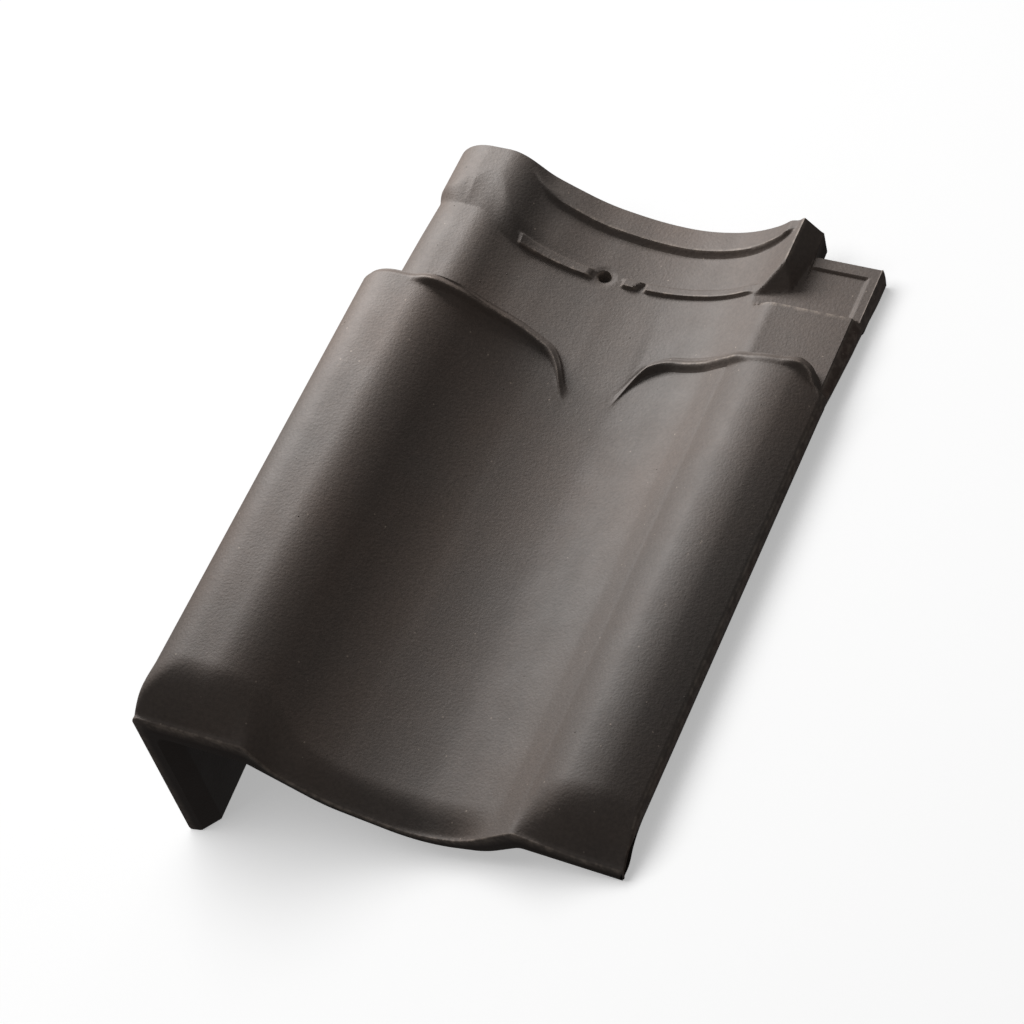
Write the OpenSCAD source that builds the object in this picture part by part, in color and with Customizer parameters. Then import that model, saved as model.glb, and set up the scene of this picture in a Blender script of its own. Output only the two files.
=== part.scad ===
// Left-hand verge tile of fired clay: a double roll tile with a deep side flange.
// It is drawn as it lies on a roof, foot edge at y = 0, head edge at y = tile_len and
// the flange's outer face at x = 0, then tipped to how it rests on a level floor.

/* [Tile] */
// Width across the tile, flange face to right edge
tile_w = 300; // [250:5:360]
// Length from foot edge to head edge
tile_len = 440; // [365:5:530]
// Thickness of the fired wall, square to the surface
wall = 13; // [10:0.5:16]
// Height of the left roll's crown over the laying plane
roll_h = 33; // [26:1:40]
// Depth of the trough under the laying plane
trough_d = 31; // [24:1:36]
// Height of the right roll's crown over the laying plane
right_h = 15; // [11:1:18]

/* [Side flange] */
// Depth of the flange under the laying plane, at its outer face
flange_d = 118; // [90:2:140]
// Thickness of the flange
flange_t = 17.5; // [15:0.5:21]
// Extra thickness of the flange at the foot edge
flange_foot = 3; // [0:0.5:5]
// Outer radius where the flange turns into the left roll
corner_r = 28; // [22:1:30]

/* [Foot] */
// Length over which the rolls bend down to the foot edge
nose_len = 35.5; // [28:0.5:44]
// The same in the trough
nose_trough = 21.5; // [17:0.5:26]
// Height of the foot edge over the laying plane at the left roll
nose_z = 8.2; // [4:0.2:12]
// Width of the narrow ledge along the foot edge
ledge = 3; // [2:0.5:4]
// Where the foot edge's thicker lip ends, along the tile
foot_lip = 12; // [10:1:14]

/* [Head] */
// Length of the lapped part, from the left roll's shoulder to the head edge
lap_len = 116; // [104:1:136]
// How far the lapped left roll stands below the crown
lap_drop = 21.5; // [18:0.5:24]
// How far the pad at the head stands over the lapped left roll
pad_h = 5.6; // [3:0.2:7]
// How far the lapped left roll is set in from the flange face
lap_inset = 10; // [6:1:13]
// Depth of the skirt left of the lapped roll
skirt_d = 20; // [14:1:28]
// Height of the curved lips that end the rolls
lip_h = 4.6; // [2.6:0.2:5.4]
// Height of the rim along the head edge
rim_h = 4.6; // [2.6:0.2:5.4]
// Height of the second rib, beside the nail hole
rib_h = 3.1; // [1.9:0.2:3.9]
// How far the side platform ends short of the head edge
platform_back = 17.5; // [14:0.5:24]
// How far the side platform lies under the laying plane
platform_d = 8.4; // [6:0.2:10]

/* [Nail hole] */
// Radius of the nail hole
nail_r = 4.2; // [2.4:0.2:5]
// Distance from the flange face to the nail hole, as a share of the width
nail_share = 0.424; // [0.414:0.002:0.434]
// Distance from the head edge to the nail hole
nail_back = 49.5; // [46.5:0.5:55.5]

/* [Hanging nib] */
// Width of the hanging nib under the trough
nib_w = 36; // [24:1:44]
// Depth of the nib under the wall
nib_d = 8; // [6:0.5:10]
// Distance from the head edge to the face that hooks over the batten
nib_back = 26; // [21:1:31]

/* [Hidden] */

// ---- helpers -------------------------------------------------------------
// A ramp that is 0 before d = -w, d after d = w, and a parabola between.
function ramp(d, w) = d <= -w ? 0 : d >= w ? d : (d + w) * (d + w) / (4 * w);

// Rises from 0 at a to 1 at b, straight between.
function rise(v, a, b) = min(1, max(0, (v - a) / (b - a)));

// The same with soft ends.
function ease(v, a, b) = let (t = rise(v, a, b)) t * t * (3 - 2 * t);

function mix(p, q, t) = p + (q - p) * t;

function total(list, i = 0) = i >= len(list) ? 0 : list[i] + total(list, i + 1);

// Height at x of a line through the corners [x, z, w], each corner rounded over x -+ w.
function rounded_line(c, x) =
    let (slope = [for (i = [0 : len(c) - 2]) (c[i + 1][1] - c[i][1]) / (c[i + 1][0] - c[i][0])])
    c[0][1] + slope[0] * (x - c[0][0])
    + total([for (i = [1 : 1 : len(c) - 2]) (slope[i] - slope[i - 1]) * ramp(x - c[i][0], c[i][2])]);

// ---- cross-sections, as corners across the width -------------------------
u = tile_w / 300;              // every place across the tile grows with the width
valley_z = -trough_d;
lap_top = roll_h - lap_drop;
sole_drop = platform_d + wall + 0.6;    // depth of the right edge's lowest corners
edge_z = 0.4;                  // height of the right edge's outermost line
arris = 1.3;                   // drop from the right edge's top to that line

main_corners = [[30 * u, roll_h, 0], [59.5 * u, roll_h, 16 * u], [96 * u, valley_z + 20.2, 22 * u],
                [144 * u, valley_z, 30 * u], [176 * u, valley_z + 0.4, 14 * u],
                [208 * u, valley_z + 7.5, 14 * u], [229 * u, valley_z + 20.5, 10 * u],
                [247 * u, right_h - 7, 12 * u], [268 * u, right_h, 14 * u],
                [286 * u, right_h - 5.5, 8 * u], [tile_w, edge_z + arris, 0]];

// The lapped part's trough rises to the ear on its right, or to the flat quad before it.
lap_wall = [[146 * u, valley_z + 1.6, 12 * u], [176 * u, valley_z + 0.8, 14 * u],
            [206 * u, valley_z + 8.5, 12 * u], [229 * u, valley_z + 22, 8 * u]];
lap_flat = [[243.5 * u, 0, 4 * u], [tile_w, 0, 0]];
lap_corners = concat([[20 * u, lap_top, 0], [50 * u, lap_top, 10 * u], [72 * u, valley_z + 24.5, 12 * u],
                      [112 * u, valley_z + 8.5, 14 * u]], lap_wall, lap_flat);
pad_corners = concat([[20 * u, lap_top + pad_h, 0], [57 * u, lap_top + pad_h, 12 * u],
                      [79 * u, valley_z + 25.5, 8 * u], [112 * u, valley_z + 9, 12 * u]], lap_wall, lap_flat);
platform_corners = [[200 * u, -platform_d - 6, 0], [224 * u, -platform_d - 1, 4 * u],
                    [231 * u, -platform_d, 3 * u], [tile_w, -platform_d, 0]];

// The foot edge: its narrow ledge above and its lip below.
ledge_corners = [[30 * u, nose_z, 0], [72 * u, nose_z, 3 * u], [85 * u, valley_z + 18, 4 * u],
                 [116 * u, valley_z + 0.5, 14 * u], [164 * u, valley_z - 10.5, 16 * u],
                 [198 * u, valley_z - 2, 10 * u], [235 * u, -4, 3 * u], [268 * u, -11.5, 8 * u],
                 [tile_w, -12.8, 0]];
foot_corners = [[20 * u, nose_z - 16.2, 0], [68 * u, nose_z - 16.2, 4 * u], [113 * u, valley_z - 3, 10 * u],
                [172 * u, valley_z - 16, 22 * u], [214 * u, valley_z - 3.5, 8 * u],
                [237.5 * u, -sole_drop + 4.5, 3 * u], [tile_w, -sole_drop, 0]];

function main_z(x) = rounded_line(main_corners, x);
function ledge_z(x) = rounded_line(ledge_corners, x);

// ---- places along the tile -----------------------------------------------
// A line along the tile through corners [x, distance from a fixed y, rounding].
function along(from, corners, x) =
    from + rounded_line([for (c = corners) [c[0] * u, c[1], c[2] * u]], x);

// The lips' crest line: the shoulder of each roll, drawn down into the trough to a point.
shoulder = tile_len - lap_len;
function lip_y(x) = along(shoulder, [[0, 0, 0], [55, 0, 12], [100, 9.5, 12], [124, 3, 8], [137, -23, 4],
                                     [165, -21, 4], [175, 9, 6], [188, 17, 7], [225, 15, 10],
                                     [262, 10, 10], [285, 12, 5], [293, 8, 4], [300, -3, 0]], x);

// How much of the lip's height stands at x: none on the left roll's side, none at the two points.
function lip_share(x) =
    1.1 * ease(x, 36 * u, 56 * u) * (1 - ease(x, 129 * u, 138.5 * u))
    + 1.15 * ease(x, 165 * u, 182 * u) * (1 - ease(x, 236 * u, 256 * u))
    + 0.6 * ease(x, 268 * u, 282 * u) * (1 - ease(x, 292 * u, 299 * u));

// 1 in the trough's middle, where the body runs into the lapped part without a step.
function calm(x) = ease(x, 126 * u, 141 * u) * (1 - ease(x, 162 * u, 177 * u));

// The second rib stops on both sides of the nail hole; a short lug stands in the gap.
nail_x = nail_share * tile_w;
nail_y = tile_len - nail_back;
function rib_y(x) = along(nail_y, [[70, -5, 0], [100, -6.5, 12], [180, -3, 12], [240, -2, 0]], x);
function rib_share(x) =
    rise(x, 71 * u, 74 * u) * (1 - rise(x, nail_x - 9, nail_x - 7))
    + rise(x, nail_x + 11, nail_x + 13) * (1 - rise(x, nail_x + 20, nail_x + 22))
    + rise(x, nail_x + 25.5, nail_x + 28) * (1 - ease(x, 222 * u, 231 * u));

// The foot of the rim along the head edge.
function rim_y(x) = along(tile_len, [[0, -6, 0], [62, -6, 4], [77, -16.5, 6], [110, -19.5, 14],
                                     [180, -19.5, 16], [216, -17, 10], [232, -13, 5], [244, -6, 3],
                                     [300, -6, 0]], x);

// The pad on the lapped left roll starts here, and rises over this length.
function pad_y(x) =
    along(tile_len, [[8, -34, 0], [24, -43, 6], [48, -45, 6], [64, -55, 8], [300, -55, 0]], x);
function pad_run(x) = along(0, [[8, 4, 0], [20, 8, 6], [44, 32, 8], [62, 16, 8], [300, 16, 0]], x);
function pad_share(x, y) = 1 - (1 - rise(y, pad_y(x), pad_y(x) + pad_run(x))) ^ 1.6;

platform_end = tile_len - platform_back;
platform_start = tile_len - 61;       // the side quad ends and the platform begins
rim_in = 8.4;                         // width of the rim at the platform's end
ear_x = 244.7 * u;                    // crest of the trough's right wall at the head
ear_z = 6.7;
ear_side = 255.5 * u;                 // foot of that wall's outer face

// The wall's crest falls away to the right and, as a hipped end, toward the foot.
function ear(x, y) =
    let (base = 5.8 + 0.18 * (y - (tile_len - 46)),
         fall = ear_z - 15.7 * (x - ear_x) / base,
         hip = ear_z - 0.41 * (x - ear_x) + 1.157 * (y - (tile_len - 34.4)))
    min(rounded_line(concat(lap_wall, [[ear_x, ear_z + 0.5, 0]]), x), fall, hip);

// ---- the top surface -----------------------------------------------------
// x runs across the section before the lapped roll is set in.
// How far the foot has bent down from the body to its ledge: sooner in the trough.
function bend(x, y) =
    let (roll = 1 - ease(x, 72 * u, 105 * u) + ease(x, 224 * u, 248 * u),
         w = mix(0.28 * nose_trough, 0.35 * nose_len, roll),
         at = mix(nose_trough, nose_len, roll) - w)
    ramp(1 - y / at, w / at) / (1 - ledge / at);

function body_z(x, y) = max(mix(main_z(x), ledge_z(x), bend(x, y)), ledge_z(x));

function lip(x, y) =
    let (d = y - lip_y(x))
    lip_h * lip_share(x) * rise(d, -8.8, -5.2) * (1 - rise(d, 0, 2.2));

function rim(x, y) =
    let (d = y - rim_y(x))
    rim_h * rise(d, 0, 3.2) * ease(x, 64 * u, 84 * u) * (1 - ease(x, 234 * u, 242 * u))
          * mix(1, 0.76, rise(d, 3.2, 20));

function rib(x, y) =
    let (d = y - rib_y(x))
    rib_h * rib_share(x) * rise(d, 0, 1.4) * (1 - rise(d, 6.4, 8.4)) * mix(1, 0.75, rise(d, 1.4, 6.4));

function platform_rim(x, y) =
    2 * rise(x, 254 * u, 258 * u) * rise(y, platform_start + 2, platform_start + 3)
      * max(rise(x, 290.5 * u, 293.5 * u), rise(y, platform_end - rim_in, platform_end - rim_in + 1.2));

function lapped_z(x, y) =
    let (high = mix(rounded_line(lap_corners, x), rounded_line(pad_corners, x), pad_share(x, y)),
         down = rise(y, platform_start, platform_start + 2) * rise(x, 220 * u, 232 * u),
         flat_z = mix(high, min(high, rounded_line(platform_corners, x)), down))
    (y > platform_start + 2 && x > 222 * u ? max(flat_z, ear(x, y)) : flat_z)
    + rim(x, y) + rib(x, y) + platform_rim(x, y);

function top_z(x, y) =
    let (d = y - lip_y(x),
         past = calm(x) > 0 ? ease(d, -28 * calm(x), 2.2 + 34 * calm(x)) : rise(d, 0, 2.2),
         band = 1 - ease(x, 124 * u, 137 * u) + ease(x, 165 * u, 178 * u))
    mix(body_z(x, y), lapped_z(x, y), past) + lip(x, y) - 2.8 * band * ease(d, -5.2, 0) * (1 - past);

// ---- the underside -------------------------------------------------------
function under(c, x) =
    let (s = (rounded_line(c, x + 1) - rounded_line(c, x - 1)) / 2)
    rounded_line(c, x) - wall * sqrt(1 + s * s);

function bottom_z(x, y) =
    let (body = under(main_corners, x) - 0.9 * (main_z(x) - ledge_z(x)) * bend(x, y),
         lapped = under(lap_corners, x),
         lap = mix(lapped, min(lapped, -sole_drop),
                   rise(x, 232 * u, 250 * u) * ease(y, platform_start - 6, platform_start + 8))
               + 0.8 * pad_h * ease(y, tile_len - 50, tile_len - 12) * (1 - ease(x, 56 * u, 84 * u)),
         foot = mix(rounded_line(foot_corners, x), body, ease(y, foot_lip - 8, foot_lip + 6)))
    mix(foot, lap, ease(y - lip_y(x), -16, 6));

// ---- the section as two lines of points, outer and inner -----------------
rest_tilt = atan2(flange_d - sole_drop, tile_w);      // angle at which the tile rests on the floor
function sole_z(x) = -flange_d + x * tan(rest_tilt);

arc_n = 7;                     // points round the flange's corner
foot_corner_r = 4.5;           // its radius at the foot edge
// Places of the section's points across the width, closer where the relief is finer.
cols = [for (span = [[corner_r + 3, 108 * u, 6], [112 * u, 160 * u, 4], [165 * u, 226 * u, 6],
                     [230 * u, 241 * u, 4], [ear_x, ear_side - 0.5, 2.7], [ear_side + 1, 284 * u, 7],
                     [287 * u, 290.5 * u, 3.5], [293.5 * u, 298.2 * u, 4.7]])
            let (n = max(1, round((span[1] - span[0]) / span[2])))
            each [for (i = [0 : n]) mix(span[0], span[1], i / n)]];

function lap_on(y) = rise(y, shoulder, shoulder + 2.2);
function inset(y) = mix(lap_inset - 2.6, lap_inset, rise(y, tile_len - 95, tile_len - 35)) * lap_on(y);
function squeeze(x, y) = x + inset(y) * (1 - rise(x, 0, 90 * u));

function edge_top(y) =
    mix(min(edge_z + arris, top_z(tile_w - 1, y)),
        mix(-0.8, -platform_d + 1.6, rise(y, platform_start, platform_start + 2)),
        rise(y - lip_y(tile_w), 0, 2.2));
function edge_bottom(y) =
    mix(mix(-sole_drop + 0.2, -12 - ledge, rise(y, 0.3, ledge)),
        -9 - 7.2 * rise(y, shoulder - 6, tile_len - 64)
        - (sole_drop - 16.2) * rise(y, tile_len - 64, tile_len - 32),
        rise(y, ledge, 14));

function outer_line(row) =
    let (y0 = row_y(row, 0), on = lap_on(y0), x0 = inset(y0),
         r = mix(corner_r, foot_corner_r, 1 - ease(y0, 1, 2.9 * foot_lip)),
         crown = top_z(corner_r + 1, y0), share = pad_share(corner_r + 1, y0))
    concat([[x0, y0, mix(sole_z(0), -skirt_d, on)]],
           [for (i = [0 : arc_n - 1])
               let (a = 90 * i / (arc_n - 0.5), x = r * (1 - cos(a)),
                    pad = pad_h * (pad_share(8 + x, y0) - share) * on)
               [x0 + x, y0, crown + pad - (r + 2 * on) * (1 - sin(a))]],
           [for (x = cols) let (y = row_y(row, x)) [squeeze(x, y), y, top_z(x, y)]],
           [let (y = row_y(row, tile_w)) [tile_w, y, edge_top(y) - arris]]);

chamfer = 10;                  // cut off the flange's inner edge at the foot
function inner_line(row) =
    let (y0 = row_y(row, 0), on = lap_on(y0),
         foot_t = flange_t + flange_foot * (1 - rise(y0, 0, 50)) - chamfer * (1 - rise(y0, 0, 9)),
         t = mix(foot_t, wall, on),
         x0 = inset(y0) + t, roof = bottom_z(corner_r + 1, y0), r = mix(7, 3, on))
    concat([[x0, y0, mix(sole_z(x0), -skirt_d, on)]],
           [for (i = [0 : arc_n - 1])
               let (a = 90 * i / (arc_n - 0.5)) [x0 + r * (1 - cos(a)), y0, roof - r * (1 - sin(a))]],
           [for (x = cols) let (y = row_y(row, x)) [squeeze(x, y), y, bottom_z(x, y)]],
           [let (y = row_y(row, tile_w)) [tile_w, y, edge_bottom(y)]]);

// Rows of sections: [which line they follow, distance from it]. The head rows stand by shares
// of the way from the rib to the rim's foot, and from there to the head edge.
FOOT = 0;
LIP = 1;
RIB = 2;
HEAD = 3;
rows = concat([for (d = [0, ledge, 6, 9, foot_lip, mix(foot_lip, nose_trough, 0.5), nose_trough,
                         mix(nose_trough, nose_len, 0.5), nose_len]) [FOOT, d]],
              [for (t = [0.5, 1]) [FOOT, mix(nose_len, shoulder - 60, t)]],
              [for (d = [-20, -8.8, -5.2, 0, 2.2, 7]) [LIP, d]],
              [for (d = [-10, 0, 1.4, 6.4, 8.4]) [RIB, d]],
              [for (t = [0, 0.2, 0.4, 0.6, 0.8, 1, 1.16, 1.5, 2]) [HEAD, t]]);

// Past the rib's ends its rows run on as the platform's first step.
function rib_line(x) = mix(rib_y(x), platform_start, ease(x, 226 * u, 240 * u));

// Rows near the head draw in to the platform's end beside the head's cut-out corner.
function row_y(row, x) =
    row[0] == FOOT ? row[1]
    : row[0] == LIP ? lip_y(x) + row[1]
    : row[0] == RIB ? rib_line(x) + row[1]
    : let (from = rib_line(x) + 9.6, end = x > ear_side ? platform_end : tile_len,
           seam = x > ear_side ? platform_end - rim_in : rim_y(x))
      row[1] < 1 ? mix(from, seam, row[1]) : mix(seam, end, row[1] - 1);

module shell() {
    n = len(cols) + arc_n + 2;
    last = len(rows) - 1;
    points = [for (row = rows) each concat(outer_line(row), inner_line(row))];
    function at(k, side, i) = k * 2 * n + side * n + i;
    faces = concat(
        [for (k = [0 : last - 1], i = [0 : n - 2])
            each [[at(k, 0, i), at(k + 1, 0, i), at(k, 0, i + 1)],
                  [at(k, 0, i + 1), at(k + 1, 0, i), at(k + 1, 0, i + 1)],
                  [at(k, 1, i), at(k, 1, i + 1), at(k + 1, 1, i)],
                  [at(k, 1, i + 1), at(k + 1, 1, i + 1), at(k + 1, 1, i)]]],
        [for (k = [0 : last - 1])
            each [[at(k, 0, 0), at(k, 1, 0), at(k + 1, 0, 0)],
                  [at(k, 1, 0), at(k + 1, 1, 0), at(k + 1, 0, 0)],
                  [at(k, 0, n - 1), at(k + 1, 0, n - 1), at(k, 1, n - 1)],
                  [at(k, 1, n - 1), at(k + 1, 0, n - 1), at(k + 1, 1, n - 1)]]],
        [for (i = [0 : n - 2])
            each [[at(0, 0, i), at(0, 0, i + 1), at(0, 1, i)],
                  [at(0, 0, i + 1), at(0, 1, i + 1), at(0, 1, i)],
                  [at(last, 0, i), at(last, 1, i), at(last, 0, i + 1)],
                  [at(last, 0, i + 1), at(last, 1, i), at(last, 1, i + 1)]]]);
    polyhedron(points, faces, convexity = 8);
}

module nail_bore() {
    translate([nail_x, nail_y, valley_z - wall - 10]) cylinder(r = nail_r, h = wall + 40, $fn = 48);
}

// The nib hangs from the trough's bottom near the head and hooks over the roof batten.
nib_t = 12;
module nib() {
    translate([156 * u - nib_w / 2, tile_len - nib_back, valley_z - wall - nib_d])
        cube([nib_w, nib_t, nib_d + wall - 4]);
}

// Origin: the middle of the tile's footprint, on the floor.
left_x = -flange_d * sin(rest_tilt);
right_x = tile_w * cos(rest_tilt) + edge_z * sin(rest_tilt);

module tile() {
    color([0.2, 0.185, 0.175])
    translate([-(left_x + right_x) / 2, -tile_len / 2, flange_d * cos(rest_tilt)])
    rotate([0, rest_tilt, 0])
    difference() {
        union() {
            shell();
            nib();
        }
        nail_bore();
    }
}

tile();
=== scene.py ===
# Left-hand verge roof tile, fired clay with a satin dark engobe, on a pale studio floor.
import math

import bpy
from mathutils import Matrix, Vector


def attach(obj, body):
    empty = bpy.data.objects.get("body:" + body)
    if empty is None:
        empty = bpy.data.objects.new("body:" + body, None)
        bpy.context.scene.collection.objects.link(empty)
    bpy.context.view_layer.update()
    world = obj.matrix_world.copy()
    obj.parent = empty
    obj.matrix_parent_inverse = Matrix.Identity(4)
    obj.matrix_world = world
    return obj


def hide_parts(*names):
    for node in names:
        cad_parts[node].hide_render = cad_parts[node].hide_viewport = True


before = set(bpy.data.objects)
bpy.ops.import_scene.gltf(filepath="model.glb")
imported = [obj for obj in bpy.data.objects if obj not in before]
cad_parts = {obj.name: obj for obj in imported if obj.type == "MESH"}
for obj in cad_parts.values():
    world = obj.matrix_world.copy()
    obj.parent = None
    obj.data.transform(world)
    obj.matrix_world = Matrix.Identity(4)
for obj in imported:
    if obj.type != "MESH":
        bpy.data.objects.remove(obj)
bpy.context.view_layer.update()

mm = 0.001


# Small helpers for lines and steps.

def ramp(d, w):
    # 0 before -w, d after w, a parabola between
    if d <= -w:
        return 0.0
    if d >= w:
        return d
    return (d + w) ** 2 / (4 * w)


def rise(v, a, b):
    return min(1.0, max(0.0, (v - a) / (b - a)))


def ease(v, a, b):
    t = rise(v, a, b)
    return t * t * (3 - 2 * t)


def mix(p, q, t):
    return p + (q - p) * t


def softMin(a, b, w):
    return a - ramp(a - b, w)


def roundedLine(corners):
    # a line through corners (x, height, rounding), as a function of x
    slopes = [(b[1] - a[1]) / (b[0] - a[0]) for a, b in zip(corners, corners[1:])]
    bends = [(c[0], c[2], after - before) for c, before, after in zip(corners[1:], slopes, slopes[1:])]
    startX, startZ = corners[0][0], corners[0][1]

    def height(x):
        return startZ + slopes[0] * (x - startX) + sum(k * ramp(x - at, w) for at, w, k in bends)

    return height


# The tile, in mm and in its own frame: x across from the flange, y from foot to head, z off the laying plane.
tileSize = {
    "width": 300,
    "length": 440,
    "wall": 13,
    "crown": 33,             # left roll over the laying plane
    "valley": -31,           # bottom of the trough
    "rightCrown": 15.2,
    "flangeDepth": 118,
    "quadSetBack": 2.7,
    "flangeThick": 17.5,
    "flangeFoot": 3,         # how much thicker the flange is at the foot
    "flangeChamfer": 10,     # cut off its inner edge at the foot
    "cornerRadius": 28,
    "footCornerRadius": 4.5,
    "footLip": 12,
    "ledge": 3.0,            # the narrow ledge along the foot edge
    "lapLength": 116,
    "lapCrown": 11.5,
    "lapInset": 10,
    "skirt": 20,             # the lapped part's side
    "padCrown": 17.1,
    "platformDepth": 8.4,
    "platformBack": 17.5,
}
reliefSize = {
    "lip": 4.6,              # ridges that end the rolls
    "rim": 4.6,              # along the head edge
    "rib": 3.1,              # beside the nail hole
    "edge": 2.0,             # round the platform
}
nailHole = {"radius": 4.2, "share": 0.424, "fromHead": 49.5, "sides": 56, "dish": 0.8}
nib = {"width": 36, "depth": 8, "thick": 12, "fromHead": 26, "centre": 156}
earSize = {"ridgeX": 244.7, "ridgeZ": 6.7, "side": 255.5, "hipY": 405.6}

width, length = tileSize["width"], tileSize["length"]
valley, crown = tileSize["valley"], tileSize["crown"]
shoulder = length - tileSize["lapLength"]
platformEnd = length - tileSize["platformBack"]
platformStart = length - 61
recess = -tileSize["platformDepth"]
nailX, nailY = nailHole["share"] * width, length - nailHole["fromHead"]
soleDrop = 22
restTilt = math.atan2(tileSize["flangeDepth"] - soleDrop, width)

# Height lines across the tile, corner by corner.
troughRight = [(176, valley + 0.4, 14), (208, valley + 7.5, 14), (229, valley + 20.5, 10)]
mainZ = roundedLine([(30, crown, 0), (59.5, crown, 16), (96, valley + 20.2, 22), (144, valley, 30)] + troughRight
                    + [(247, 8, 12), (268, tileSize["rightCrown"], 14), (286, 9.5, 8), (width, 1.7, 0)])
lapRightWall = [(176, valley + 0.8, 14), (206, valley + 8.5, 12), (229, valley + 22, 8)]
lapHeadZ = roundedLine([(20, tileSize["lapCrown"], 0), (50, tileSize["lapCrown"], 10), (72, -6.5, 12),
                        (112, valley + 8.5, 14), (146, valley + 1.6, 12)] + lapRightWall
                       + [(243.5, 0, 4), (width, 0, 0)])
padZ = roundedLine([(20, tileSize["padCrown"], 0), (57, tileSize["padCrown"], 12), (79, -5.5, 8),
                    (112, valley + 9, 12), (146, valley + 1.6, 14)] + lapRightWall
                   + [(243.5, 0, 4), (width, 0, 0)])
platformZ = roundedLine([(200, recess - 6, 0), (224, recess - 1, 4), (231, recess, 3), (width, recess, 0)])
troughWall = roundedLine(lapRightWall + [(earSize["ridgeX"], earSize["ridgeZ"] + 0.5, 0)])
ledgeZ = roundedLine([(30, 8.2, 0), (72, 8.2, 3), (85, -13, 4), (116, -30.5, 14), (164, -41.5, 16),
                      (198, -33, 10), (235, -4, 3), (268, -11.5, 8), (width, -12.8, 0)])
footUnder = roundedLine([(20, -8, 0), (68, -8, 4), (113, -34, 10), (172, -47, 22),
                         (214, -34.5, 8), (237.5, -17.5, 3), (width, -22, 0)])

# Lines along the tile that the ridges follow.
lipY = roundedLine([(0, shoulder, 0), (55, shoulder, 12), (100, shoulder + 9.5, 12), (124, shoulder + 3, 8),
                    (137, shoulder - 23, 4), (165, shoulder - 21, 4), (175, shoulder + 9, 6),
                    (188, shoulder + 17, 7), (225, shoulder + 15, 10), (262, shoulder + 10, 10),
                    (285, shoulder + 12, 5), (293, shoulder + 8, 4), (width, shoulder - 3, 0)])
ribY = roundedLine([(70, nailY - 5, 0), (100, nailY - 6.5, 12), (180, nailY - 3, 12), (240, nailY - 2, 0)])
rimY = roundedLine([(0, length - 6, 0), (62, length - 6, 4), (77, length - 16.5, 6), (110, length - 19.5, 14), (180, length - 19.5, 16),
                    (216, length - 17, 10), (232, length - 13, 5), (244, length - 6, 3), (260, length - 6, 0)])
padStart = roundedLine([(8, length - 34, 0), (24, length - 43, 6), (48, length - 45, 6),
                        (64, length - 55, 8), (110, length - 55, 0)])
padRun = roundedLine([(8, 4, 0), (20, 8, 6), (44, 32, 8), (62, 16, 8), (110, 16, 0)])


def lipShare(x):
    left = 1.1 * ease(x, 36, 56) * (1 - ease(x, 129, 138.5))
    right = 1.15 * ease(x, 165, 182) * (1 - ease(x, 236, 256))
    return left + right + 0.25 * ease(x, 246, 256) * (1 - ease(x, 290, 299)) + 0.6 * ease(x, 268, 282) * (1 - ease(x, 292, 299))


def bandShare(x):
    return 1 - ease(x, 124, 137) + ease(x, 165, 178)


def calm(x):
    # 1 in the trough's middle, where the body runs into the lapped part without a step
    return ease(x, 126, 141) * (1 - ease(x, 162, 177))


def rollShare(x):
    return 1 - ease(x, 72, 105) + ease(x, 224, 248)


def footBend(x, y):
    # how far the foot has bent down from the body to its ledge
    at, w = mix(15.5, 23, rollShare(x)), mix(6, 12.5, rollShare(x))
    return ramp(1 - y / at, w / at) / (1 - tileSize["ledge"] / at)


def ear(x, y):
    # the trough's right wall at the head: a ridge, falling to the right, hipped to the foot
    base = 5.8 + 0.18 * (y - (length - 46))
    fall = earSize["ridgeZ"] - 15.7 * (x - earSize["ridgeX"]) / base
    hip = earSize["ridgeZ"] - 0.41 * (x - earSize["ridgeX"]) + 1.157 * (y - earSize["hipY"])
    return softMin(softMin(troughWall(x), fall, 0.8), hip, 1.3)


def bodyZ(x, y):
    bent = mix(mainZ(x), ledgeZ(x), footBend(x, y)) - ledgeZ(x)
    arris = 0.6 * (1 - ease(y, 0, 0.7)) ** 2
    return ledgeZ(x) + ramp(bent, 0.5) - arris


def padShare(x, y):
    return 1 - (1 - rise(y, padStart(x), padStart(x) + padRun(x))) ** 1.6


def lappedZ(x, y):
    high = mix(lapHeadZ(x), padZ(x), padShare(x, y))
    down = ease(y, platformStart, platformStart + 1.6) * rise(x, 220, 232)
    top = mix(high, min(high, platformZ(x)), down)
    if y > platformStart + 2 and x > 222:
        top = ear(x, y) + ramp(top - ear(x, y), 0.5)
    return top - nailHole["dish"] * (1 - ease(math.hypot(x - nailX, y - nailY), 4.5, 8))


def topZ(x, y):
    d = y - lipY(x)
    past = ease(d, -28 * calm(x), 2.2 + 34 * calm(x))
    band = -2.8 * bandShare(x) * ease(d, -5, 0) * (1 - past)
    return mix(bodyZ(x, y), lappedZ(x, y), past) + band


def ribShare(x, y):
    # the rib stops on both sides of the nail hole, with a short lug in the gap
    left = rise(x, 72, 74) * (1 - rise(x, 118.6, 120))
    slant = 0.65 * (y - ribY(x))
    lug = rise(x, 139, 140.4) * (1 - rise(x, 146.5 + slant, 148 + slant))
    right = rise(x, 153.4, 155.4) * (1 - ease(x, 222, 231))
    return left + lug + right


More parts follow.
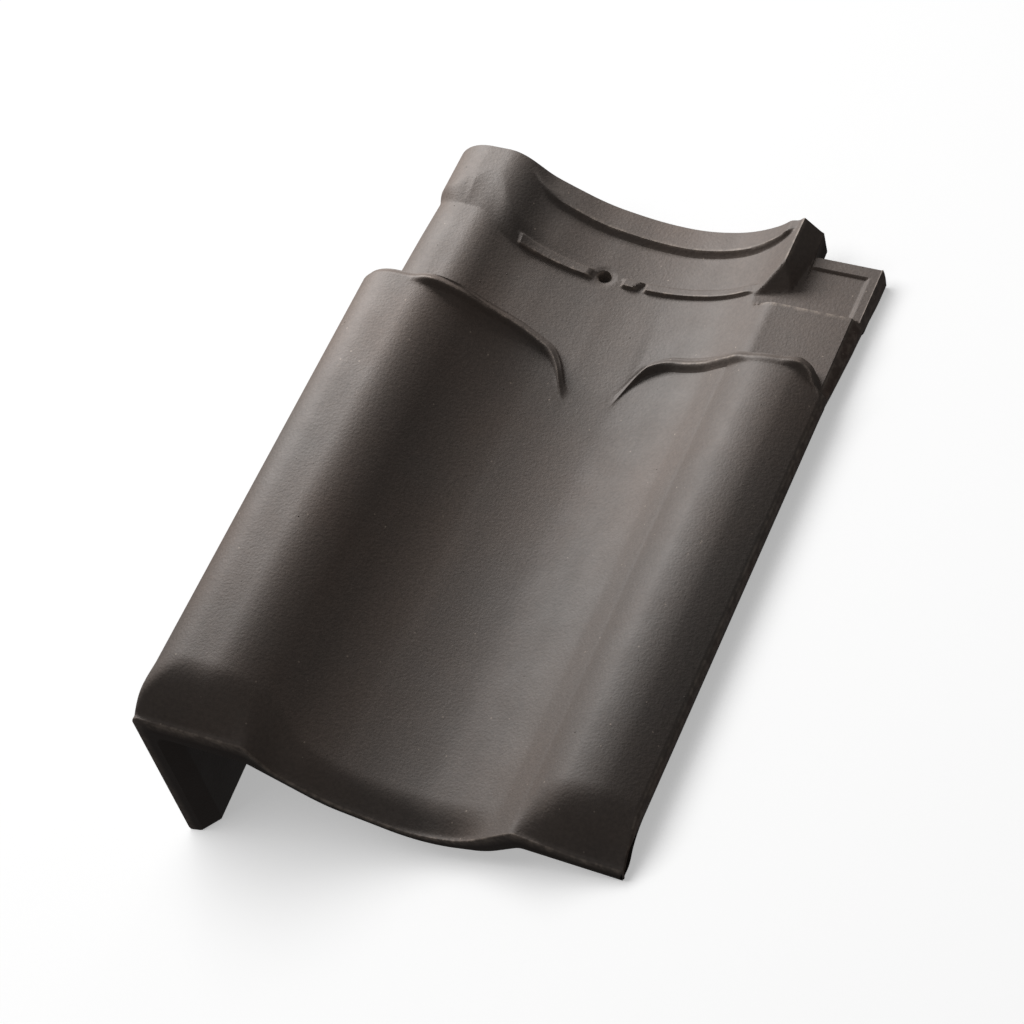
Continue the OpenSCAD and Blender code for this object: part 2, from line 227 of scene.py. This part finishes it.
def relief(x, y):
    # how much of each ridge stands at a point, 0 to 1
    d = y - lipY(x)
    lip = lipShare(x) * ease(d, -8.8, -5.2) * (1 - ease(d, 0, 2.2))
    e = y - rimY(x)
    rim = ease(e, 0, 3.2) * ease(x, 64, 88 - 12 * (1 - rise(e, 2, 8))) * (1 - ease(x, 234, 242)) * mix(1, 0.76, rise(e, 3, 20))
    r = y - ribY(x)
    rib = ribShare(x, y) * ease(r, 0, 1.4) * (1 - ease(r, 6.4, 8.4)) * mix(1, 0.75, rise(r, 1.4, 6.4))
    low = rise(x, 254, 258) * rise(y, platformStart + 2, platformStart + 3)
    edge = low * max(ease(x, 290.5, 293.5), ease(y, platformEnd - 8.4, platformEnd - 7.2))
    return lip, rim, rib, edge


def band(v, a, b, soft=0.8):
    # 1 between a and b, fading over a soft width outside them
    return ease(v, a - soft, a) * (1 - ease(v, b, b + soft))


def wearAndPaintedHighlight(x, y):
    # where the arrises are painted pale: rubbed by handling, and a painted highlight along each arris
    d, e, r = y - lipY(x), y - rimY(x), y - ribY(x)
    along = [0.5 * min(1, lipShare(x)) * band(d, -5.2, -4.6, 0.6),
             0.5 * ribShare(x, y) * band(r, 1.2, 1.8, 0.6),
             0.4 * band(e, 2.9, 3.6, 0.7) * ease(x, 84, 96) * (1 - ease(x, 226, 236)),
             0.6 * band(y - platformStart, -0.7, 0.2, 0.5) * band(x, 238, 296),
             0.7 * band(x, earSize["ridgeX"] - 0.5, earSize["ridgeX"] + 0.5) * ease(y, 406, 410),
             0.55 * (1 - ease(y, 0.6, 1.6))]
    return max(along)


def under(line, x):
    s = (line(x + 1) - line(x - 1)) / 2
    return line(x) - tileSize["wall"] * math.sqrt(1 + s * s)


def bottomZ(x, y):
    body = under(mainZ, x) - (mainZ(x) - ledgeZ(x)) * footBend(x, y) * 0.9
    lap = mix(under(lapHeadZ, x), min(under(lapHeadZ, x), recess - tileSize["wall"] - 0.6),
              rise(x, 232, 250) * ease(y, platformStart - 6, platformStart + 8))
    lap += 4.5 * ease(y, length - 50, length - 12) * (1 - ease(x, 56, 84))
    foot = mix(footUnder(x), body, ease(y, tileSize["footLip"] - 8, tileSize["footLip"] + 6))
    return mix(foot, lap, ease(y - lipY(x), -16, 6))


def soleZ(x):
    return -tileSize["flangeDepth"] + x * math.tan(restTilt)


def edgeTop(y):
    lap = mix(-0.8, recess + 1.6, rise(y, platformStart, platformStart + 2))
    return mix(min(1.7, topZ(width - 1, y)), lap, rise(y - lipY(width), 0, 2))


edgeLine = roundedLine([(0, -9, 0), (318, -9, 8), (346, -15, 8), (376, -16.6, 8), (406, -21.6, 6),
                        (length, -21.6, 0)])


def edgeBottom(y):
    lip = mix(-12 - tileSize["ledge"], -9, ease(y, 2, 12))
    return mix(mix(-20.6, lip, ease(y, 0.3, 2.2)), edgeLine(y), rise(y, 2, 14))


# Where the sections' points stand, and where the sections stand.
sectionSteps = {"corner": 14, "columnGap": 1.45}


def spread(start, end, gap):
    count = max(1, round((end - start) / gap))
    return [mix(start, end, i / count) for i in range(count)]


earX, earSide = earSize["ridgeX"], earSize["side"]
columns = (spread(tileSize["cornerRadius"] + 3, 228, sectionSteps["columnGap"]) + spread(228, earX, 0.9)
           + [earX] + spread(earX + 0.8, earSide, 0.9) + [earSide, earSide + 0.6]
           + spread(earSide + 1.6, 288, 1.5) + spread(288, 295, 0.8) + [295, 296.2, 297.3, 298.2])


def lapOn(y):
    return ease(y, shoulder, shoulder + 2.2)


def inset(y):
    return mix(7.4, tileSize["lapInset"], rise(y, length - 95, length - 35)) * lapOn(y)


def quadSetBack(y):
    # the flat quad beside the trough ends a little inside the tile's edge
    return tileSize["quadSetBack"] * rise(y - lipY(width), 0, 2) * (1 - rise(y, platformStart, platformStart + 2))


def squeeze(x, y):
    return x + inset(y) * (1 - rise(x, 0, 90)) - quadSetBack(y) * rise(x, 282, width - 0.9)


def quarter(i, n):
    a = math.radians(90 * i / (n - 0.5))
    return 1 - math.cos(a), 1 - math.sin(a)


def outerLine(row):
    y = rowY(row, 0)
    on, startX = lapOn(y), inset(y)
    squared = (1 - ease(y, 1, tileSize["footLip"] * 2.9)) if y < shoulder else 0
    r = mix(tileSize["cornerRadius"], tileSize["footCornerRadius"], squared)
    low = mix(soleZ(0), -tileSize["skirt"], on)
    sole = 1 - on
    points = [(startX + 2.5, y, low + 2.5 * math.tan(restTilt) * sole), (startX + 0.7, y, low + 0.6), (startX, y, low + 2.5)]
    level = topZ(tileSize["cornerRadius"] + 1, y)
    step = tileSize["padCrown"] - tileSize["lapCrown"]
    levelShare = padShare(tileSize["cornerRadius"] + 1, y)
    for i in range(sectionSteps["corner"]):
        c, s = quarter(i, sectionSteps["corner"])
        pad = step * (padShare(8 + r * c, y) - levelShare) * on
        points.append((startX + r * c, y, level + pad - (r + 2 * on) * s))
    # the fifth mark paints the arrises pale, rubbed wear with a painted highlight; the sixth marks the right-hand
    # edge
    marks = [(0, 0, 0, 0, 0.55 * (1 - ease(y, 0.6, 1.6)), 0)] * len(points)
    for x in columns:
        y = rowY(row, x)
        points.append((squeeze(x, y), y, topZ(x, y)))
        marks.append(relief(x, y) + (wearAndPaintedHighlight(x, y), 0))
    y = rowY(row, width)
    top, bottom = edgeTop(y), edgeBottom(y)
    setBack = quadSetBack(y)
    points += [(width - 0.9 - setBack, y, top - 0.3), (width - 0.3 - setBack, y, top - 1.2),
               (width, y, mix(top, bottom, 0.4)), (width - 0.2, y, bottom + 1.6)]
    # pale marks on the right-hand arrises: rubbed wear with a painted highlight
    marks += [tuple(0.8 * m for m in relief(width - 2, y)) + (0.5, 0), (0, 0, 0, 0, 0.2, 0.5),
              (0, 0, 0, 0, 0.45, 1), (0, 0, 0, 0, 0, 1)]
    return points, marks


def innerLine(row):
    y = rowY(row, 0)
    on = lapOn(y)
    thick = (tileSize["flangeThick"] + tileSize["flangeFoot"] * (1 - rise(y, 0, 50))
             - tileSize["flangeChamfer"] * (1 - rise(y, 0, 9)))
    startX = inset(y) + mix(thick, tileSize["wall"], on)
    roof = bottomZ(tileSize["cornerRadius"] + 1, y)
    r = mix(7, 3, on)
    low = mix(soleZ(startX), -tileSize["skirt"], on)
    points = [(startX - 2.5, y, low - 2.5 * math.tan(restTilt) * (1 - on)), (startX - 0.7, y, low + 0.5),
              (startX, y, low + 2.3)]
    for i in range(sectionSteps["corner"]):
        c, s = quarter(i, sectionSteps["corner"])
        points.append((startX + r * c, y, roof - r * s))
    for x in columns:
        y = rowY(row, x)
        points.append((squeeze(x, y), y, bottomZ(x, y)))
    y = rowY(row, width)
    bottom = edgeBottom(y)
    points += [(width - 3.4, y, min(bottomZ(width - 3.4, y), bottom)), (width - 2.4, y, bottom - 0.1),
               (width - 1.4, y, bottom + 0.1), (width - 0.6, y, bottom + 0.7)]
    return points


def steps(line, stops):
    # sections along one line, between stops (distance from it, how many up to the next stop)
    found = []
    for (a, n), (b, _) in zip(stops, stops[1:]):
        found += [(line, mix(a, b, i / n)) for i in range(n)]
    return found + [(line, stops[-1][0])]


seamShare = 0.5
rows = (steps("foot", [(0, 3), (0.9, 3), (3.3, 10), (13, 6), (21, 9), (36, 4), (50, 14), (264, 1)])
        + steps("lip", [(-20, 5), (-8.4, 6), (-4.6, 7), (0, 7), (2.3, 3), (7, 1)])
        + steps("rib", [(-15, 6), (-0.4, 5), (1.6, 5), (6.2, 5), (8.6, 1)])
        + steps("head", [(0, 26), (seamShare, 7), (0.68, 10), (1, 1)]))


def ribRow(x):
    return mix(ribY(x), platformStart, ease(x, 226, 240))


def rowY(row, x):
    line, d = row
    if line == "foot":
        return d
    if line == "lip":
        return lipY(x) + d
    if line == "rib":
        return ribRow(x) + d
    start = ribRow(x) + 9.6
    seam, end = (rimY(x), length) if x <= earSide else (platformEnd - 8.4, platformEnd)
    return mix(start, seam, d / seamShare) if d < seamShare else mix(seam, end, (d - seamShare) / (1 - seamShare))


def shellMesh(name):
    # an outer and an inner sheet of sections, joined along all four borders into one closed wall
    lines = [outerLine(row) for row in rows]
    outer = [points for points, _ in lines]
    inner = [innerLine(row) for row in rows]
    n, count = len(outer[0]), len(rows)
    mesh = bpy.data.meshes.new(name)

    def at(side, k, i):
        return (side * count + k) * n + i

    faces = []
    for k in range(count - 1):
        for i in range(n - 1):
            faces.append((at(0, k, i), at(0, k, i + 1), at(0, k + 1, i + 1), at(0, k + 1, i)))
            faces.append((at(1, k, i), at(1, k + 1, i), at(1, k + 1, i + 1), at(1, k, i + 1)))
        faces.append((at(0, k, 0), at(0, k + 1, 0), at(1, k + 1, 0), at(1, k, 0)))
        faces.append((at(0, k, n - 1), at(1, k, n - 1), at(1, k + 1, n - 1), at(0, k + 1, n - 1)))
    last = count - 1
    for i in range(n - 1):
        faces.append((at(0, 0, i), at(1, 0, i), at(1, 0, i + 1), at(0, 0, i + 1)))
        faces.append((at(0, last, i), at(0, last, i + 1), at(1, last, i + 1), at(1, last, i)))
    mesh.from_pydata([Vector(p) * mm for line in outer + inner for p in line], [], faces)
    marks = [m for _, line in lines for m in line] + [(0,) * 6] * (count * n)
    for k, part in enumerate(("lip", "rim", "rib", "edge", "wearAndPaintedHighlight", "side")):
        mesh.attributes.new(part, "FLOAT", "POINT").data.foreach_set("value", [m[k] for m in marks])
    hidden = [0.0] * (count * n) + [1.0] * (count * n)
    mesh.attributes.new("hiddenSide", "FLOAT", "POINT").data.foreach_set("value", hidden)
    return mesh


# From the tile's own frame to the way it rests on the floor.
left = -tileSize["flangeDepth"] * math.sin(restTilt)
right = width * math.cos(restTilt) + 0.4 * math.sin(restTilt)
toRest = (Matrix.Translation(Vector((-(left + right) / 2, -length / 2, tileSize["flangeDepth"] * math.cos(restTilt))) * mm)
          @ Matrix.Rotation(restTilt, 4, "Y"))


def newPiece(name, mesh):
    piece = bpy.data.objects.new(name, mesh)
    bpy.context.scene.collection.objects.link(piece)
    return piece


def bakeModifiers(piece):
    # the evaluated shape becomes the piece's plain mesh
    deps = bpy.context.evaluated_depsgraph_get()
    plain = bpy.data.meshes.new_from_object(piece.evaluated_get(deps), depsgraph=deps)
    piece.modifiers.clear()
    old, piece.data = piece.data, plain
    plain.name = piece.name
    bpy.data.meshes.remove(old)


def lathe(name, profile, sides):
    # a closed turned shape from (radius, height) rings
    points = [(r * math.cos(2 * math.pi * i / sides), r * math.sin(2 * math.pi * i / sides), h)
              for r, h in profile for i in range(sides)]
    faces = [(k * sides + i, k * sides + (i + 1) % sides, (k + 1) * sides + (i + 1) % sides, (k + 1) * sides + i)
             for k in range(len(profile) - 1) for i in range(sides)]
    faces += [tuple(reversed(range(sides))), tuple(range((len(profile) - 1) * sides, len(profile) * sides))]
    mesh = bpy.data.meshes.new(name)
    mesh.from_pydata([Vector(p) * mm for p in points], [], faces)
    return mesh


def boxMesh(name, low, high):
    corners = [(x, y, z) for z in (low[2], high[2]) for y in (low[1], high[1]) for x in (low[0], high[0])]
    faces = [(0, 2, 3, 1), (4, 5, 7, 6), (0, 1, 5, 4), (2, 6, 7, 3), (0, 4, 6, 2), (1, 3, 7, 5)]
    mesh = bpy.data.meshes.new(name)
    mesh.from_pydata([Vector(p) * mm for p in corners], [], faces)
    return mesh


def carve(piece, tool, how):
    cut = piece.modifiers.new(how.lower(), "BOOLEAN")
    cut.operation = how
    cut.object = tool
    cut.solver = "EXACT"
    bakeModifiers(piece)
    bpy.data.objects.remove(tool)


tile = newPiece("clay_tile", shellMesh("clay_tile"))
holeZ = topZ(nailX, nailY)
drill = lathe("drill", [(nailHole["radius"], -25), (nailHole["radius"], -0.6), (nailHole["radius"] + 0.5, 0.3),
                        (nailHole["radius"] + 2.4, 3)], nailHole["sides"])
drill.transform(Matrix.Translation(Vector((nailX, nailY, holeZ)) * mm))
carve(tile, newPiece("drill", drill), "DIFFERENCE")
nibTop = topZ(nib["centre"], length - 20) - 8
hanger = boxMesh("hanger", (nib["centre"] - nib["width"] / 2, length - nib["fromHead"], nibTop - nib["thick"] - nib["depth"]),
                 (nib["centre"] + nib["width"] / 2, length - nib["fromHead"] + nib["thick"], nibTop))
carve(tile, newPiece("hanger", hanger), "UNION")
tile.data.transform(toRest)
print("tile shell:", len(tile.data.polygons), "faces")


# Ridges and pimples, grown from the shell by one node tree.
grainSize = {"pimplesPerSquareMetre": 420, "pimpleRadius": 0.45, "pimpleFlatness": 0.45, "seed": 7}


def reliefTree():
    tree = bpy.data.node_groups.new("ridgesAndPimples", "GeometryNodeTree")
    face = tree.interface
    face.new_socket("Geometry", in_out="INPUT", socket_type="NodeSocketGeometry")
    for label in ("Lip Height", "Rim Height", "Rib Height", "Edge Height", "Pimple Density", "Pimple Radius",
                  "Pimple Flatness"):
        face.new_socket(label, in_out="INPUT", socket_type="NodeSocketFloat")
    face.new_socket("Seed", in_out="INPUT", socket_type="NodeSocketInt")
    face.new_socket("Up", in_out="INPUT", socket_type="NodeSocketVector")
    face.new_socket("Finish", in_out="INPUT", socket_type="NodeSocketMaterial")
    face.new_socket("Geometry", in_out="OUTPUT", socket_type="NodeSocketGeometry")
    nodes, links = tree.nodes, tree.links
    given = nodes.new("NodeGroupInput")
    total = None
    for part, label in (("lip", "Lip Height"), ("rim", "Rim Height"), ("rib", "Rib Height"), ("edge", "Edge Height")):
        share = nodes.new("GeometryNodeInputNamedAttribute")
        share.data_type = "FLOAT"
        share.inputs["Name"].default_value = part
        lift = nodes.new("ShaderNodeMath")
        lift.operation = "MULTIPLY_ADD"
        links.new(share.outputs["Attribute"], lift.inputs[0])
        links.new(given.outputs[label], lift.inputs[1])
        if total:
            links.new(total, lift.inputs[2])
        else:
            lift.inputs[2].default_value = 0
        total = lift.outputs[0]
    push = nodes.new("ShaderNodeVectorMath")
    push.operation = "SCALE"
    links.new(given.outputs["Up"], push.inputs[0])
    links.new(total, push.inputs["Scale"])
    move = nodes.new("GeometryNodeSetPosition")
    links.new(given.outputs["Geometry"], move.inputs["Geometry"])
    links.new(push.outputs["Vector"], move.inputs["Offset"])
    scatter = nodes.new("GeometryNodeDistributePointsOnFaces")
    scatter.distribute_method = "RANDOM"
    shown = nodes.new("GeometryNodeInputNamedAttribute")
    shown.data_type = "FLOAT"
    shown.inputs["Name"].default_value = "hiddenSide"
    open_ = nodes.new("FunctionNodeCompare")
    open_.operation = "LESS_THAN"
    open_.inputs["B"].default_value = 0.01
    links.new(shown.outputs["Attribute"], open_.inputs["A"])
    links.new(move.outputs["Geometry"], scatter.inputs["Mesh"])
    facing = nodes.new("GeometryNodeInputNormal")
    upward = nodes.new("ShaderNodeVectorMath")
    upward.operation = "DOT_PRODUCT"
    links.new(facing.outputs["Normal"], upward.inputs[0])
    links.new(given.outputs["Up"], upward.inputs[1])
    topSide = nodes.new("ShaderNodeMath")
    topSide.operation = "GREATER_THAN"
    topSide.inputs[1].default_value = 0.7
    links.new(upward.outputs["Value"], topSide.inputs[0])
    both = nodes.new("FunctionNodeBooleanMath")
    both.operation = "AND"
    links.new(open_.outputs["Result"], both.inputs[0])
    links.new(topSide.outputs["Value"], both.inputs[1])
    links.new(both.outputs["Boolean"], scatter.inputs["Selection"])
    links.new(given.outputs["Pimple Density"], scatter.inputs["Density"])
    links.new(given.outputs["Seed"], scatter.inputs["Seed"])
    ball = nodes.new("GeometryNodeMeshIcoSphere")
    ball.inputs["Subdivisions"].default_value = 2
    links.new(given.outputs["Pimple Radius"], ball.inputs["Radius"])
    spreadOut = nodes.new("FunctionNodeRandomValue")
    spreadOut.data_type = "FLOAT"
    spreadOut.inputs["Min"].default_value = 0.35
    spreadOut.inputs["Max"].default_value = 1.3
    links.new(given.outputs["Seed"], spreadOut.inputs["Seed"])
    flat = nodes.new("ShaderNodeCombineXYZ")
    flat.inputs["X"].default_value = 1
    flat.inputs["Y"].default_value = 1
    links.new(given.outputs["Pimple Flatness"], flat.inputs["Z"])
    grow = nodes.new("ShaderNodeVectorMath")
    grow.operation = "SCALE"
    links.new(flat.outputs["Vector"], grow.inputs[0])
    links.new(spreadOut.outputs["Value"], grow.inputs["Scale"])
    place = nodes.new("GeometryNodeInstanceOnPoints")
    links.new(scatter.outputs["Points"], place.inputs["Points"])
    links.new(ball.outputs["Mesh"], place.inputs["Instance"])
    links.new(scatter.outputs["Rotation"], place.inputs["Rotation"])
    links.new(grow.outputs["Vector"], place.inputs["Scale"])
    join = nodes.new("GeometryNodeJoinGeometry")
    links.new(place.outputs["Instances"], join.inputs[0])
    links.new(move.outputs["Geometry"], join.inputs[0])
    solid = nodes.new("GeometryNodeRealizeInstances")
    links.new(join.outputs[0], solid.inputs[0])
    dress = nodes.new("GeometryNodeSetMaterial")
    links.new(solid.outputs[0], dress.inputs["Geometry"])
    links.new(given.outputs["Finish"], dress.inputs["Material"])
    result = nodes.new("NodeGroupOutput")
    links.new(dress.outputs[0], result.inputs[0])
    return tree


def growRelief(piece, finish):
    tree = reliefTree()
    mod = piece.modifiers.new("ridgesAndPimples", "NODES")
    mod.node_group = tree
    sockets = {item.name: item.identifier for item in tree.interface.items_tree if item.in_out == "INPUT"}
    mod[sockets["Lip Height"]] = reliefSize["lip"] * mm
    mod[sockets["Rim Height"]] = reliefSize["rim"] * mm
    mod[sockets["Rib Height"]] = reliefSize["rib"] * mm
    mod[sockets["Edge Height"]] = reliefSize["edge"] * mm
    mod[sockets["Pimple Density"]] = float(grainSize["pimplesPerSquareMetre"])
    mod[sockets["Pimple Radius"]] = grainSize["pimpleRadius"] * mm
    mod[sockets["Pimple Flatness"]] = grainSize["pimpleFlatness"]
    mod[sockets["Seed"]] = grainSize["seed"]
    mod[sockets["Up"]] = (math.sin(restTilt), 0.0, math.cos(restTilt))
    mod[sockets["Finish"]] = finish
    bakeModifiers(piece)


# Satin engobe over fired clay.
engobe = {
    "brown": (0.099, 0.071, 0.056, 1),
    "grey": (0.085, 0.072, 0.064, 1),
    # the underside's unglazed clay, darkened with painted shade
    "bareClayAndShade": (0.030, 0.019, 0.014, 1),
    "pale": (0.42, 0.34, 0.28, 1),
    "red": (0.070, 0.036, 0.025, 1),
    "speckShare": 0.05,
    "roughness": 0.64,
    "cloud": 9.0,            # patches to the metre
    "grain": 620.0,
    "grainHeight": 0.0004,
}


def engobeMaterial(e):
    mat = bpy.data.materials.new("engobed_clay")
    mat.use_nodes = True
    nodes, links = mat.node_tree.nodes, mat.node_tree.links
    shader = nodes["Principled BSDF"]
    where = nodes.new("ShaderNodeTexCoord").outputs["Object"]

    def noise(scale, detail=3.0, stretch=(1, 1, 1), rough=0.5):
        spot = nodes.new("ShaderNodeMapping")
        spot.inputs["Scale"].default_value = stretch
        links.new(where, spot.inputs["Vector"])
        tex = nodes.new("ShaderNodeTexNoise")
        tex.inputs["Scale"].default_value = scale
        tex.inputs["Detail"].default_value = detail
        tex.inputs["Roughness"].default_value = rough
        links.new(spot.outputs["Vector"], tex.inputs["Vector"])
        return tex.outputs["Fac"]

    def remap(value, low, high, outLow=0.0, outHigh=1.0):
        node = nodes.new("ShaderNodeMapRange")
        node.inputs["From Min"].default_value = low
        node.inputs["From Max"].default_value = high
        node.inputs["To Min"].default_value = outLow
        node.inputs["To Max"].default_value = outHigh
        links.new(value, node.inputs["Value"])
        return node.outputs["Result"]

    def blend(fac, a, b, how="MIX"):
        node = nodes.new("ShaderNodeMix")
        node.data_type = "RGBA"
        node.blend_type = how
        for socket, value in ((node.inputs["Factor"], fac), (node.inputs["A"], a), (node.inputs["B"], b)):
            if isinstance(value, (tuple, float, int)):
                socket.default_value = value
            else:
                links.new(value, socket)
        return node.outputs["Result"]

    def times(a, b):
        node = nodes.new("ShaderNodeMath")
        node.operation = "MULTIPLY"
        for socket, value in zip(node.inputs, (a, b)):
            if isinstance(value, (float, int)):
                socket.default_value = value
            else:
                links.new(value, socket)
        return node.outputs["Value"]

    colour = blend(remap(noise(e["cloud"], 4.0), 0.3, 0.7, 0.15, 0.85), e["brown"], e["grey"])
    streak = remap(noise(26.0, 3.0, (1, 0.16, 1)), 0.3, 0.7, 0.9, 1.1)
    speckle = remap(noise(420.0, 2.0), 0.25, 0.75, 0.86, 1.14)
    shade = times(streak, speckle)
    toned = nodes.new("ShaderNodeVectorMath")
    toned.operation = "SCALE"
    links.new(colour, toned.inputs[0])
    links.new(shade, toned.inputs["Scale"])
    colour = toned.outputs["Vector"]

    def mark(name):
        node = nodes.new("ShaderNodeAttribute")
        node.attribute_name = name
        return node.outputs["Fac"]

    # rubbed arrises, painted pale as wear and as a painted highlight, a scatter of pale specks, and the redder clay
    # of the right-hand edge
    colour = blend(times(mark("side"), remap(noise(60.0, 3.0), 0.35, 0.65, 0.45, 0.95)), colour, e["red"])
    patchiness = remap(noise(210.0, 3.0), 0.42, 0.66, 0.12, 0.75)
    colour = blend(times(mark("wearAndPaintedHighlight"), patchiness), colour, e["pale"])
    cells = nodes.new("ShaderNodeTexVoronoi")
    cells.inputs["Scale"].default_value = 260.0
    links.new(where, cells.inputs["Vector"])
    cellTone = nodes.new("ShaderNodeSeparateColor")
    links.new(cells.outputs["Color"], cellTone.inputs["Color"])
    chosen = remap(cellTone.outputs["Red"], 1 - e["speckShare"], 1 - 0.8 * e["speckShare"])
    speck = times(remap(cells.outputs["Distance"], 0.17, 0.1), chosen)
    colour = blend(times(speck, 0.42), colour, e["pale"])
    # the inner sheet, the underside, takes the bare clay colour, painted darker than the top as painted shade
    colour = blend(remap(mark("hiddenSide"), 0.05, 0.6), colour, e["bareClayAndShade"])

    links.new(colour, shader.inputs["Base Color"])
    links.new(remap(noise(55.0, 4.0), 0.3, 0.7, e["roughness"] - 0.02, e["roughness"] + 0.03), shader.inputs["Roughness"])

    bump = nodes.new("ShaderNodeBump")
    bump.inputs["Strength"].default_value = 0.55
    bump.inputs["Distance"].default_value = e["grainHeight"]
    links.new(noise(e["grain"], 2.0, rough=0.55), bump.inputs["Height"])
    links.new(bump.outputs["Normal"], shader.inputs["Normal"])
    return mat


growRelief(tile, engobeMaterial(engobe))
tile.data.shade_smooth()
tile.data.set_sharp_from_angle(angle=math.radians(40))
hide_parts("tile")
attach(tile, "root")
print("tile finished:", len(tile.data.polygons), "faces")


# Floor, light and camera.
stage = {"floorSize": 8.0, "floorColour": (0.9, 0.9, 0.9, 1), "floorGlow": 0.4}


def pourFloor(s):
    half = s["floorSize"] / 2
    mesh = bpy.data.meshes.new("floor")
    mesh.from_pydata([(-half, -half, 0), (half, -half, 0), (half, half, 0), (-half, half, 0)], [], [(0, 1, 2, 3)])
    paper = bpy.data.materials.new("floor_paper")
    paper.use_nodes = True
    paper.node_tree.nodes["Principled BSDF"].inputs["Base Color"].default_value = s["floorColour"]
    paper.node_tree.nodes["Principled BSDF"].inputs["Roughness"].default_value = 0.9
    paper.node_tree.nodes["Principled BSDF"].inputs["Emission Color"].default_value = (1, 1, 1, 1)
    paper.node_tree.nodes["Principled BSDF"].inputs["Emission Strength"].default_value = s["floorGlow"]
    mesh.materials.append(paper)
    floor = newPiece("floor", mesh)
    floor.visible_diffuse = False
    floor.visible_glossy = False
    return floor


floor = pourFloor(stage)

cameraSetup = {
    "aim": (0.00738, -0.01394, 0.05110),
    "heading": 51.297,
    "height": 40.092,
    "roll": -36.519,
    "distance": 1.8981,
    "lens": 114.26,
}


def towards(heading, height):
    a, e = math.radians(heading), math.radians(height)
    return Vector((math.sin(a) * math.cos(e), -math.cos(a) * math.cos(e), math.sin(e)))


def makeCamera(c):
    cam = bpy.data.objects.new("camera", bpy.data.cameras.new("camera"))
    bpy.context.scene.collection.objects.link(cam)
    back = towards(c["heading"], c["height"])
    turn = (-back).to_track_quat("-Z", "Y").to_matrix().to_4x4() @ Matrix.Rotation(math.radians(c["roll"]), 4, "Z")
    cam.matrix_world = Matrix.Translation(Vector(c["aim"]) + back * c["distance"]) @ turn
    cam.data.lens = c["lens"]
    cam.data.sensor_width = 36
    bpy.context.scene.camera = cam


makeCamera(cameraSetup)

lightSetup = {
    "key": {"heading": -140, "height": 46, "distance": 0.76, "size": (0.6, 0.24), "power": 9.8, "on": "tile"},
    "paper": {"heading": -120, "height": 75, "distance": 2.6, "size": (2.6, 2.6), "power": 50, "on": "floor"},
    "fill": {"heading": 0, "height": 88, "distance": 2.2, "size": (3.0, 3.0), "power": 9.5, "on": "tile"},
}


def areaLight(name, s, receivers):
    lamp = bpy.data.objects.new(name, bpy.data.lights.new(name, "AREA"))
    lamp.data.shape = "RECTANGLE"
    lamp.data.size, lamp.data.size_y = s["size"]
    lamp.data.energy = s["power"]
    lamp.location = towards(s["heading"], s["height"]) * s["distance"]
    lamp.rotation_euler = (-lamp.location).to_track_quat("-Z", "Y").to_euler()
    lamp.visible_camera = False
    bpy.context.scene.collection.objects.link(lamp)
    lit = bpy.data.collections.new("lit_by_" + name)
    for piece in receivers:
        lit.objects.link(piece)
    lamp.light_linking.receiver_collection = lit


for lightName, lightValues in lightSetup.items():
    areaLight(lightName, lightValues, [tile] if lightValues["on"] == "tile" else [floor])

world = bpy.data.worlds.new("studio")
world.use_nodes = True
world.node_tree.nodes["Background"].inputs["Color"].default_value = (1, 1, 1, 1)
world.node_tree.nodes["Background"].inputs["Strength"].default_value = 0.12
bpy.context.scene.world = world
bpy.context.scene.view_settings.view_transform = "Standard"
